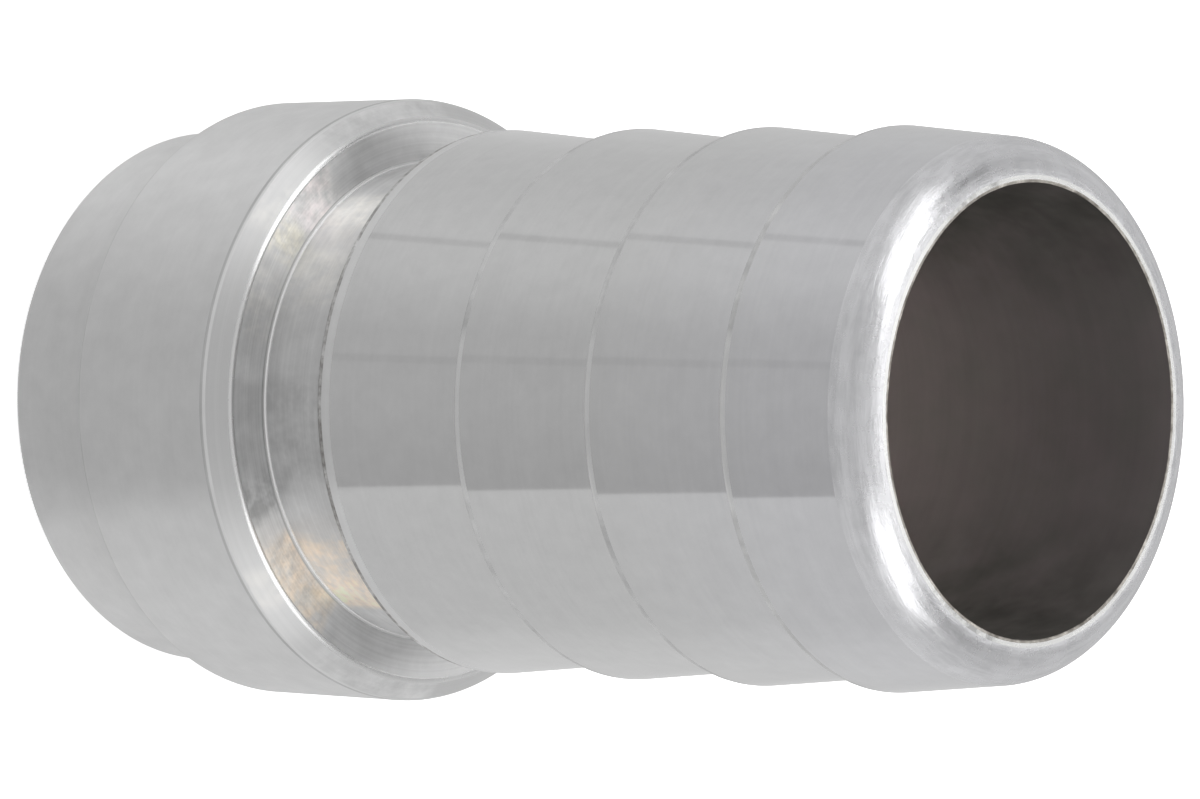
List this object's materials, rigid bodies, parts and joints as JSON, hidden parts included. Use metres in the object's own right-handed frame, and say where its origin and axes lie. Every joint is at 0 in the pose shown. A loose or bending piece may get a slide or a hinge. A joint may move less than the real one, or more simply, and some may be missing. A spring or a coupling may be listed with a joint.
{
  "type": "hose barb tail",
  "caption": "Straight turned steel tail: a plain spigot and collar at the rear, a ferrule groove, and a barbed barrel with a rounded nose that holds a hose.",
  "frame": {"origin": "centre of the rear face, where the tail stands", "axes": "+Z along the bore from the rear face to the nose; X and Y are free, because the part is turned"},
  "size_m": [0.0296, 0.0296, 0.0532],
  "materials": {
    "turned_steel": "satin turned steel, brighter in the groove and on the nose"
  },
  "bodies": {
    "root": {"hose_tail": "turned_steel"}
  },
  "joints": []
}
